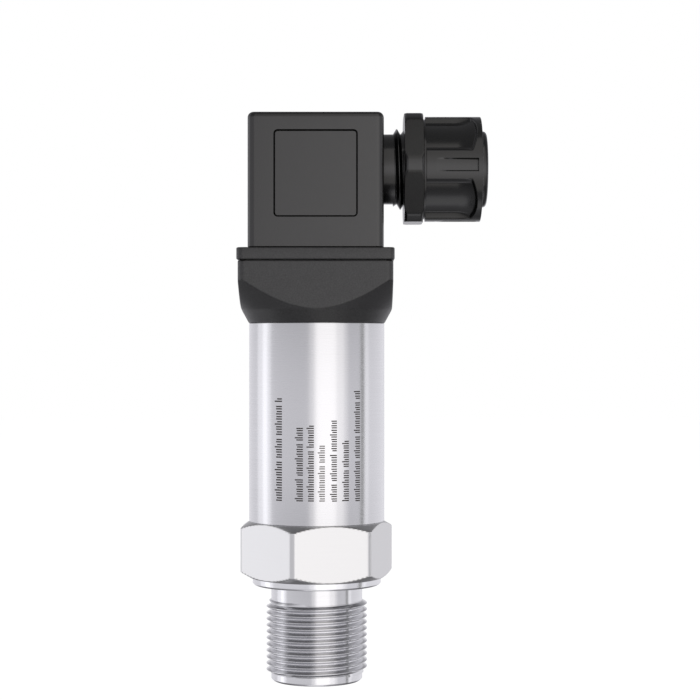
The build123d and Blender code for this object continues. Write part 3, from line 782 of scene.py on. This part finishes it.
# Columns of print: base line and both ends in the photograph's pixels, height and pitch in millimetres
Column = namedtuple("Column", "base_pixel low_pixel high_pixel tall pitch")
PRINT_COLUMNS = (
    Column(281.9, 501.0, 397.0, 1.35, 0.98),
    Column(302.9, 501.5, 427.0, 1.3, 0.9),
    Column(313.9, 501.6, 424.0, 1.15, 0.9),
    Column(336.9, 501.6, 418.0, 1.1, 0.88),
    Column(348.9, 501.0, 438.6, 1.15, 0.88),
    Column(359.9, 501.0, 387.0, 1.15, 0.88),
)
# The column in the tube's brightest highlight, whose ink is made lighter: painted highlight
PRINT_COLUMNS_IN_PAINTED_HIGHLIGHT = (Column(324.9, 501.6, 443.0, 1.1, 0.88),)
PRINT_LIFT = 0.012

# Marks in each group, and the heights of strokes that follow each other as shares of the column's
GROUP_LENGTHS = (8, 5, 11, 4, 7, 9, 6)
GROUP_STRIDE = 3
STROKE_RISES = (1.0, 0.88, 1.0, 1.0, 1.25, 0.82, 1.0, 0.94)
STROKE_STRIDE = 3

# Shares of the pitch: starts of a mark's two strokes, their width, a whole mark and the gap of a group
STROKE_STARTS = (0.0, 0.46)
STROKE_WIDTH = 0.26
MARK_LENGTH = 0.7
GROUP_GAP = 0.5
STROKE_STEPS = 4


# Direction and height on the tube of a pixel of the photograph
def tube_place(column, row):
    focal = CAMERA_LENS / CAMERA_SENSOR * PIXELS_PER_SIDE
    depth = -CAMERA_PLACE[1] - TUBE_RADIUS
    passes = 6
    for number in range(passes):
        across = CAMERA_PLACE[0] + (column - PIXELS_PER_SIDE / 2) * depth / focal
        depth = -CAMERA_PLACE[1] - sqrt(TUBE_RADIUS**2 - across**2)
    height = CAMERA_PLACE[2] + (PIXELS_PER_SIDE / 2 - row) * depth / focal
    return asin(across / TUBE_RADIUS) - pi / 2, height


# Upright marks along a column, as the low end and the share of the height of every stroke
def column_strokes(column, number, low, high):
    strokes = []
    stroke = STROKE_STRIDE * number
    group = number
    left = GROUP_LENGTHS[group % len(GROUP_LENGTHS)]
    while low + column.pitch * MARK_LENGTH <= high:
        for start in STROKE_STARTS:
            strokes.append((low + column.pitch * start, STROKE_RISES[stroke % len(STROKE_RISES)]))
            stroke += 1
        left -= 1
        low += column.pitch
        if left == 0:
            group += GROUP_STRIDE
            left = GROUP_LENGTHS[group % len(GROUP_LENGTHS)]
            low += column.pitch * GROUP_GAP
    return strokes


# Pairs of fine strokes in groups along each column, bent round the tube
def print_marks(name, columns):
    radius = TUBE_RADIUS + PRINT_LIFT
    points, faces = [], []
    for number, column in enumerate(columns):
        base, low_end = tube_place(column.base_pixel, column.low_pixel)
        high_end = tube_place(column.base_pixel, column.high_pixel)[1]
        for low, share in column_strokes(column, number, low_end, high_end):
            first = len(points)
            for step in range(STROKE_STEPS + 1):
                turn = base - column.tall * share / radius * step / STROKE_STEPS
                for z in (low, low + column.pitch * STROKE_WIDTH):
                    points.append((radius * cos(turn), radius * sin(turn), z))
            for step in range(STROKE_STEPS):
                corner = first + 2 * step
                faces.append((corner, corner + 1, corner + 3, corner + 2))
    return mesh_object(name, points, faces)


# Shader node tree of a new material, with its principled shader
def new_material(name):
    material = bpy.data.materials.new(name)
    material.use_nodes = True
    tree = material.node_tree
    return material, tree, tree.nodes["Principled BSDF"]


# Noise over the object's own coordinates, stretched by a scale for each axis
def noise(tree, scale, detail=4.0, roughness=0.55):
    coordinates = tree.nodes.new("ShaderNodeTexCoord")
    mapping = tree.nodes.new("ShaderNodeMapping")
    mapping.inputs["Scale"].default_value = scale
    texture = tree.nodes.new("ShaderNodeTexNoise")
    texture.inputs["Scale"].default_value = 1.0
    texture.inputs["Detail"].default_value = detail
    texture.inputs["Roughness"].default_value = roughness
    tree.links.new(coordinates.outputs["Object"], mapping.inputs["Vector"])
    tree.links.new(mapping.outputs["Vector"], texture.inputs["Vector"])
    return texture.outputs["Fac"]


# Usual spread of the noise, which the colours and the roughness are mapped over
NOISE_LOW = 0.3
NOISE_HIGH = 0.7


# Colour between two, driven by a noise
def link_colour(tree, shader, value, first, second):
    ramp = tree.nodes.new("ShaderNodeValToRGB")
    ramp.color_ramp.elements[0].position = NOISE_LOW
    ramp.color_ramp.elements[0].color = (*first, 1)
    ramp.color_ramp.elements[1].position = NOISE_HIGH
    ramp.color_ramp.elements[1].color = (*second, 1)
    tree.links.new(value, ramp.inputs["Fac"])
    tree.links.new(ramp.outputs["Color"], shader.inputs["Base Color"])


# One colour made darker and lighter by two shares, driven by a noise
def link_shades(tree, shader, value, colour, low_share, high_share):
    low = tuple(channel * low_share for channel in colour)
    high = tuple(min(channel * high_share, 1.0) for channel in colour)
    link_colour(tree, shader, value, low, high)


# Roughness between two, driven by a noise
def link_roughness(tree, shader, value, low, high):
    node = tree.nodes.new("ShaderNodeMapRange")
    node.inputs["From Min"].default_value = NOISE_LOW
    node.inputs["From Max"].default_value = NOISE_HIGH
    node.inputs["To Min"].default_value = low
    node.inputs["To Max"].default_value = high
    tree.links.new(value, node.inputs["Value"])
    tree.links.new(node.outputs["Result"], shader.inputs["Roughness"])


# Bump from a value, with its distance in metres
def link_bump(tree, shader, value, strength, distance):
    node = tree.nodes.new("ShaderNodeBump")
    node.inputs["Strength"].default_value = strength
    node.inputs["Distance"].default_value = distance
    tree.links.new(value, node.inputs["Height"])
    tree.links.new(node.outputs["Normal"], shader.inputs["Normal"])


# Stainless steel finished round the Z axis: streaks are long round the piece and fine along it
def brushed_steel(name, colour, roughness, streaks, contrast, aniso):
    material, tree, shader = new_material(name)
    shader.inputs["Metallic"].default_value = 1.0
    fine = noise(tree, (60, 60, streaks), detail=3.0, roughness=0.7)
    link_shades(tree, shader, fine, colour, 1 - contrast, 1 + contrast)
    link_roughness(tree, shader, fine, roughness * (1 - 3 * contrast), roughness * (1 + 3 * contrast))
    shader.inputs["Anisotropic"].default_value = aniso
    shader.inputs["Anisotropic Rotation"].default_value = 0.25
    tangent = tree.nodes.new("ShaderNodeTangent")
    tangent.direction_type = "RADIAL"
    tangent.axis = "Z"
    tree.links.new(tangent.outputs["Tangent"], shader.inputs["Tangent"])
    return material


# Moulded plastic with a spark-eroded grain and slight colour variation
def moulded_plastic(name, colour, roughness, grain_strength, variation, ior):
    material, tree, shader = new_material(name)
    shader.inputs["IOR"].default_value = ior
    coarse = noise(tree, (900, 900, 900), detail=2.0)
    fine = noise(tree, (3600, 3600, 3600), detail=4.0, roughness=0.6)
    link_shades(tree, shader, fine, colour, 1 - variation, 1 + variation)
    link_roughness(tree, shader, coarse, roughness * 0.94, roughness * 1.06)
    link_bump(tree, shader, fine, grain_strength, distance=0.00003)
    return material


# Soft black rubber
def rubber(name):
    material, tree, shader = new_material(name)
    fine = noise(tree, (2500, 2500, 2500), detail=3.0)
    link_colour(tree, shader, fine, first=(0.012, 0.012, 0.012), second=(0.02, 0.02, 0.021))
    link_roughness(tree, shader, fine, low=0.6, high=0.75)
    link_bump(tree, shader, fine, strength=0.1, distance=0.00002)
    return material


# Plain metal with faint turning marks
def turned_metal(name, colour, roughness):
    material, tree, shader = new_material(name)
    shader.inputs["Metallic"].default_value = 1.0
    fine = noise(tree, (500, 500, 4000), detail=3.0)
    link_shades(tree, shader, fine, colour, low_share=0.92, high_share=1.04)
    link_roughness(tree, shader, fine, roughness * 0.85, roughness * 1.2)
    return material


# Ink of the print, slightly uneven
def ink(name, dark, light):
    material, tree, shader = new_material(name)
    fine = noise(tree, (3000, 3000, 3000), detail=2.0)
    link_colour(tree, shader, fine, dark, light)
    shader.inputs["Roughness"].default_value = 0.55
    return material


# Circuit board, chip and wire finishes share one plain recipe with fine mottling
def mottled(name, colour, roughness):
    material, tree, shader = new_material(name)
    fine = noise(tree, (1800, 1800, 1800), detail=3.0)
    link_shades(tree, shader, fine, colour, low_share=0.8, high_share=1.15)
    link_roughness(tree, shader, fine, roughness * 0.9, roughness * 1.1)
    return material


# Finishes by slot, and two more for parts of the steel end
MATERIALS = {
    "stainless_turned": brushed_steel(
        "steel_turned", (0.74, 0.74, 0.755), roughness=0.17, streaks=4200, contrast=0.02, aniso=0.3
    ),
    # The thread's steel is a darker copy of the turned steel: painted shade for the thread's shaded valleys
    "thread": brushed_steel(
        "steel_threaded_painted_shade", (0.68, 0.68, 0.695), roughness=0.17, streaks=4200, contrast=0.02, aniso=0.3
    ),
    "hexagon": brushed_steel(
        "steel_milled", (0.65, 0.65, 0.65), roughness=0.3, streaks=2500, contrast=0.01, aniso=0.0
    ),
    "stainless_tube": brushed_steel(
        "steel_brushed", (0.72, 0.72, 0.735), roughness=0.25, streaks=5200, contrast=0.05, aniso=0.8
    ),
    "adapter_plastic": moulded_plastic(
        "plastic_grained", (0.021, 0.021, 0.0215), roughness=0.42, grain_strength=0.6, variation=0.5, ior=1.6
    ),
    "hood_plastic": moulded_plastic(
        "plastic_satin", (0.014, 0.0136, 0.013), roughness=0.21, grain_strength=0.04, variation=0.1, ior=1.62
    ),
    "gland_plastic": moulded_plastic(
        "plastic_black", (0.006, 0.006, 0.006), roughness=0.21, grain_strength=0.04, variation=0.1, ior=1.58
    ),
    "seal_rubber": rubber("rubber_black"),
    "contact_metal": turned_metal("metal_tinned", (0.74, 0.73, 0.7), roughness=0.3),
    "brass_bush": turned_metal("metal_brass", (0.72, 0.52, 0.24), roughness=0.28),
    "screw_steel": turned_metal("metal_zinc", (0.68, 0.69, 0.71), roughness=0.3),
    "board_green": mottled("board_green", (0.02, 0.15, 0.06), roughness=0.35),
    "chip_black": mottled("chip_black", (0.015, 0.015, 0.016), roughness=0.5),
    "trimmer_blue": mottled("trimmer_blue", (0.02, 0.1, 0.4), roughness=0.4),
    "silicon": turned_metal("metal_silicon", (0.3, 0.31, 0.34), roughness=0.12),
    "wire_sheath": mottled("wire_red", (0.45, 0.02, 0.015), roughness=0.45),
}


# Gives a piece its finishes, its body and the CAD node that it stands for
def dress(piece, body, slot, node, *more_finishes):
    for finish in (slot, *more_finishes):
        piece.data.materials.append(MATERIALS[finish])
    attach(piece, body)
    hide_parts(node)


# Finishes of the CAD nodes that stay in sight as they are
def dress_nodes():
    slots = {row["node"]: row["material_slot"] for row in frame["record"]["subparts"]}
    for name, node in frame["nodes"].items():
        node.data.materials.clear()
        node.data.materials.append(MATERIALS[slots[name]])


dress_nodes()
dress(steel_end(), "transmitter", "stainless_turned", "process_connection", "thread", "hexagon")
dress(steel_tube(), "transmitter", "stainless_tube", "housing_tube")
dress(adapter_shell(), "transmitter", "adapter_plastic", "adapter")
dress(base_lip(), "transmitter", "adapter_plastic", "contact_base")
dress(hood_shell(), "plug", "hood_plastic", "plug_hood")
dress(gland_collar(), "plug", "gland_plastic", "gland_body")
dress(compression_nut(), "gland_nut", "gland_plastic", "gland_nut")

marks = print_marks("print_marks", PRINT_COLUMNS)
marks.data.materials.append(ink("print_ink", dark=(0.02, 0.015, 0.014), light=(0.045, 0.034, 0.03)))
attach(marks, "transmitter")
# Lighter ink on the column in the tube's highlight: painted highlight
marks_in_painted_highlight = print_marks("print_marks_painted_highlight", PRINT_COLUMNS_IN_PAINTED_HIGHLIGHT)
marks_in_painted_highlight.data.materials.append(ink("print_ink_painted_highlight", dark=(0.2, 0.19, 0.18), light=(0.28, 0.26, 0.25)))
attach(marks_in_painted_highlight, "transmitter")


# Matt material of the stage with a white glow of its own
def glowing(name, colour, roughness, glow):
    material, tree, shader = new_material(name)
    shader.inputs["Base Color"].default_value = (*colour, 1)
    shader.inputs["Roughness"].default_value = roughness
    shader.inputs["Specular IOR Level"].default_value = 0.0
    shader.inputs["Emission Color"].default_value = (1, 1, 1, 1)
    shader.inputs["Emission Strength"].default_value = glow
    return material


# Pale floor just below the piece, whose glow keeps it near white away from the lights
def floor():
    half = 1500.0
    level = -0.02
    points = [(-half, -half, level), (half, -half, level), (half, half, level), (-half, half, level)]
    piece = mesh_object("floor", points, [(0, 1, 2, 3)])
    piece.data.materials.append(glowing("floor_white", (0.35, 0.35, 0.35), roughness=0.9, glow=0.9))
    piece.visible_glossy = False
    piece.visible_diffuse = False


# White round backdrop that only the camera sees, so that it doesn't light the metal's edges
def backdrop():
    radius = 1450.0
    low = -5.0
    high = 1400.0
    segments = 96
    turns = even_turns(segments)
    points = ring(turns, circle(radius), low) + ring(turns, circle(radius), high) + [(0, 0, high)]
    faces = skin_faces(2, segments)
    faces += [(segments + n, segments + (n + 1) % segments, 2 * segments) for n in range(segments)]
    piece = mesh_object("backdrop", points, faces)
    piece.data.materials.append(glowing("backdrop_white", (0, 0, 0), roughness=0.5, glow=1.0))
    piece.visible_glossy = False
    piece.visible_diffuse = False
    piece.visible_shadow = False
    piece.visible_transmission = False


# Height of the middle of the dark card and of the side boxes
STUDIO_LEVEL = 90.0

# Power of an area light for each unit of its radiance and its area
POWER_SHARE = 4
WARM_WHITE = (1.0, 0.97, 0.93)
COOL_WHITE = (0.98, 0.98, 1.0)


# Middle bearing in radians and half width of what spans two bearings, counted from the front towards +X
def bearing_span(start, end, distance):
    return radians((start + end) / 2), distance * tan(radians(end - start) / 2)


# Place at a bearing and a distance from the axis
def bearing_place(turn, distance, level):
    return Vector((sin(turn) * distance, -cos(turn) * distance, level))


# Upright soft box between two bearings, turned to the axis
def soft_box(name, start, end, radiance, colour=(1, 1, 1), height=800.0, level=STUDIO_LEVEL, distance=700.0):
    turn, half = bearing_span(start, end, distance)
    place = bearing_place(turn, distance, level)
    data = bpy.data.lights.new(name, "AREA")
    data.shape = "RECTANGLE"
    data.size = 2 * half * MM
    data.size_y = height * MM
    data.energy = radiance * POWER_SHARE * data.size * data.size_y
    data.color = colour
    light = bpy.data.objects.new(name, data)
    light.location = place * MM
    light.rotation_euler = (Vector((0, 0, level)) - place).to_track_quat("-Z", "Y").to_euler()
    light.visible_camera = False
    bpy.context.scene.collection.objects.link(light)


# Narrow dark card between two bearings, which puts a thin dark line on the steel
def dark_card(name, start, end, distance=450.0, height=700.0):
    turn, half = bearing_span(start, end, distance)
    across = Vector((cos(turn), sin(turn), 0)) * half
    up = Vector((0, 0, height / 2))
    place = bearing_place(turn, distance, STUDIO_LEVEL)
    points = [place - across - up, place + across - up, place + across + up, place - across + up]
    piece = mesh_object(name, points, [(0, 1, 2, 3)])
    piece.data.materials.append(glowing(name + "_black", (0.02, 0.02, 0.022), roughness=1.0, glow=0.34))
    piece.visible_camera = False
    piece.visible_shadow = False
    piece.visible_diffuse = False


# Brightness of the surroundings from straight below (0) past the horizon (0.5) to overhead (1)
SKY_LEVELS = (
    (0.008, 1.0), (0.02, 0.42), (0.12, 0.16), (0.25, 0.22), (0.36, 0.74), (0.42, 0.84), (0.54, 0.84),
    (0.62, 0.52), (0.75, 0.26), (0.88, 0.2),
)


# Grey surroundings, light round the horizon and straight below, darker between them and overhead
def soft_sky():
    world = bpy.data.worlds.new("studio")
    bpy.context.scene.world = world
    world.use_nodes = True
    tree = world.node_tree
    background = tree.nodes["Background"]
    coordinates = tree.nodes.new("ShaderNodeTexCoord")
    axes = tree.nodes.new("ShaderNodeSeparateXYZ")
    share = tree.nodes.new("ShaderNodeMapRange")
    share.inputs["From Min"].default_value = -1.0
    share.inputs["From Max"].default_value = 1.0
    ramp = tree.nodes.new("ShaderNodeValToRGB")
    stops = ramp.color_ramp.elements
    stops[0].position, stops[0].color = 0.0, (1.0, 1.0, 1.0, 1)
    stops[1].position, stops[1].color = 1.0, (0.22, 0.22, 0.225, 1)
    for position, level in SKY_LEVELS:
        stop = stops.new(position)
        stop.color = (level, level * 0.99, level * 1.04, 1)
    tree.links.new(coordinates.outputs["Generated"], axes.inputs["Vector"])
    tree.links.new(axes.outputs["Z"], share.inputs["Value"])
    tree.links.new(share.outputs["Result"], ramp.inputs["Fac"])
    tree.links.new(ramp.outputs["Color"], background.inputs["Color"])
    background.inputs["Strength"].default_value = 1.0


# Large box in front on the right, brightest in its middle, and to the sides narrower ones and a dark card
def lights():
    front = {"colour": WARM_WHITE, "height": 2590.0, "level": 455.0}
    left = {"colour": COOL_WHITE, "height": 2000.0}
    soft_box("box_front_wide", start=-12, end=55, radiance=0.17, **front)
    soft_box("box_front_middle", start=-4, end=48, radiance=0.2, distance=690.0, **front)
    soft_box("box_front_core", start=0, end=34, radiance=0.2, distance=680.0, **front)
    soft_box("box_left_wide", start=-118, end=-83, radiance=0.25, **left)
    soft_box("box_left_core", start=-103, end=-91, radiance=0.28, distance=690.0, **left)
    soft_box("box_right_wide", start=89, end=155, radiance=0.06)
    soft_box("box_right_core", start=89, end=99, radiance=0.18, distance=690.0)
    dark_card("card_right", start=80, end=88)


# Level camera with the photograph's view
def camera():
    data = bpy.data.cameras.new("camera")
    data.lens = CAMERA_LENS
    data.sensor_width = CAMERA_SENSOR
    data.clip_start = 0.01
    data.clip_end = 20
    view = bpy.data.objects.new("camera", data)
    view.location = Vector(CAMERA_PLACE) * MM
    view.rotation_euler = (pi / 2, 0, 0)
    bpy.context.scene.collection.objects.link(view)
    bpy.context.scene.camera = view


floor()
backdrop()
soft_sky()
lights()
camera()
bpy.context.scene.view_settings.view_transform = "Standard"
bpy.context.scene.view_settings.look = "None"
